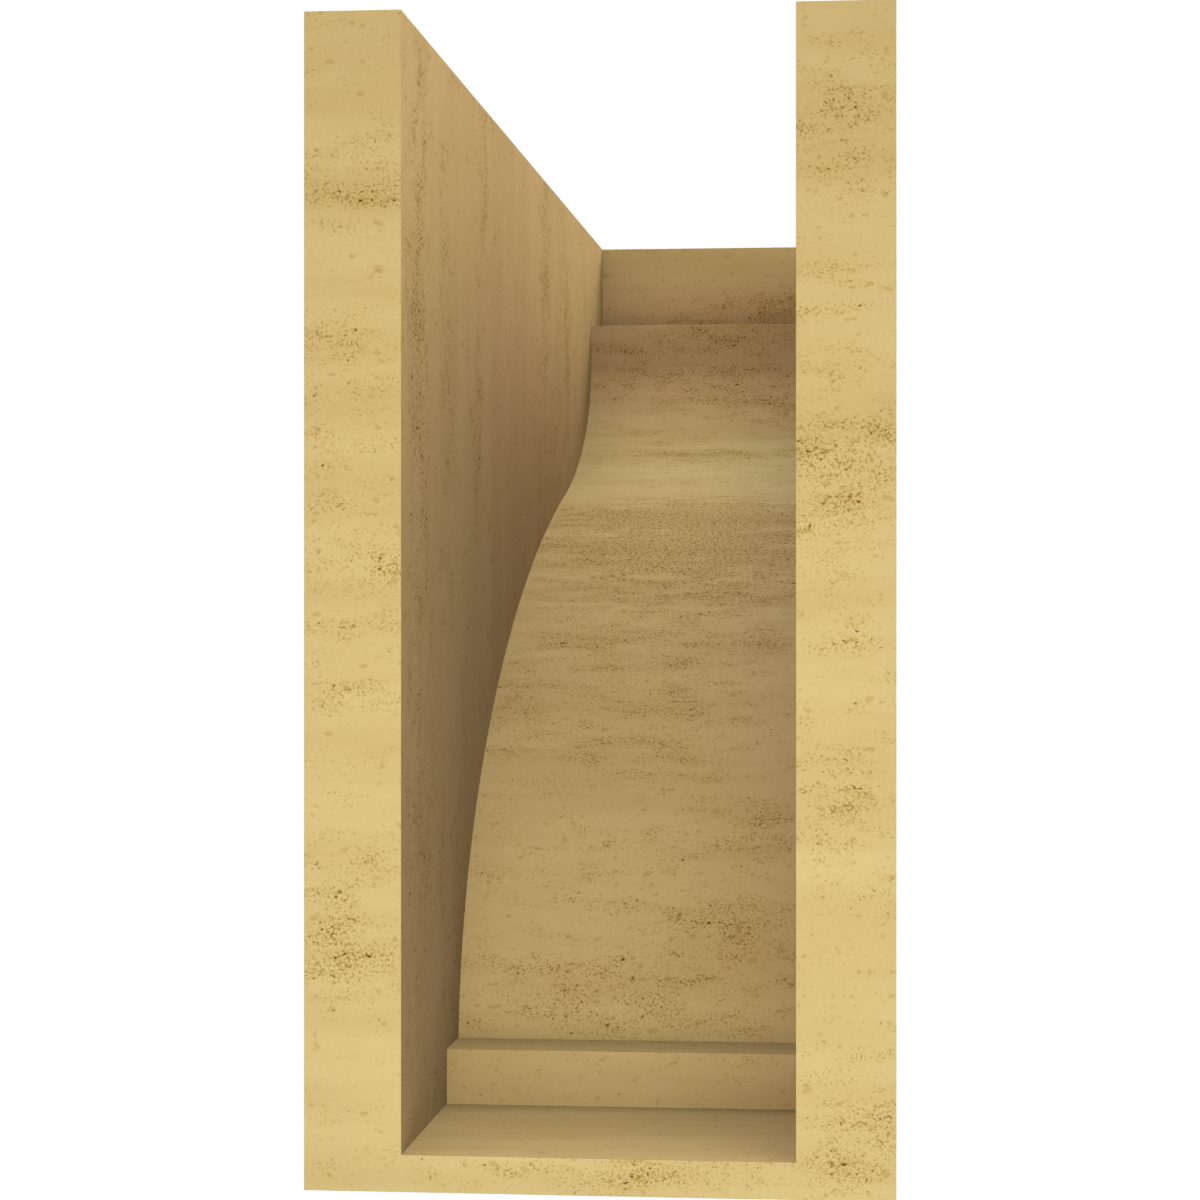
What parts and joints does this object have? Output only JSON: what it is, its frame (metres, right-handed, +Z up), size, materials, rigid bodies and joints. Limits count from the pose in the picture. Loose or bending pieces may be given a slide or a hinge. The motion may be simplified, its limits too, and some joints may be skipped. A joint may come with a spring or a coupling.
{
  "type": "ogee corbel",
  "caption": "Long hollow bracket with an S-curved underside, square block at the foot and upright fascia at the head, open behind and above, moulded to look like timber.",
  "frame": {"origin": "centre of the rail across the foot, on the back face that meets the wall", "axes": "+Y out of the back face into the wall, -Y towards the front of the fascia, +X across the width, +Z up"},
  "size_m": [0.1524, 0.53, 0.3047],
  "materials": {
    "moulded_timber_finish": "matt, pale yellow tan with fine dark grain specks"
  },
  "bodies": {
    "root": {"corbel_shell": "moulded_timber_finish"}
  },
  "joints": []
}
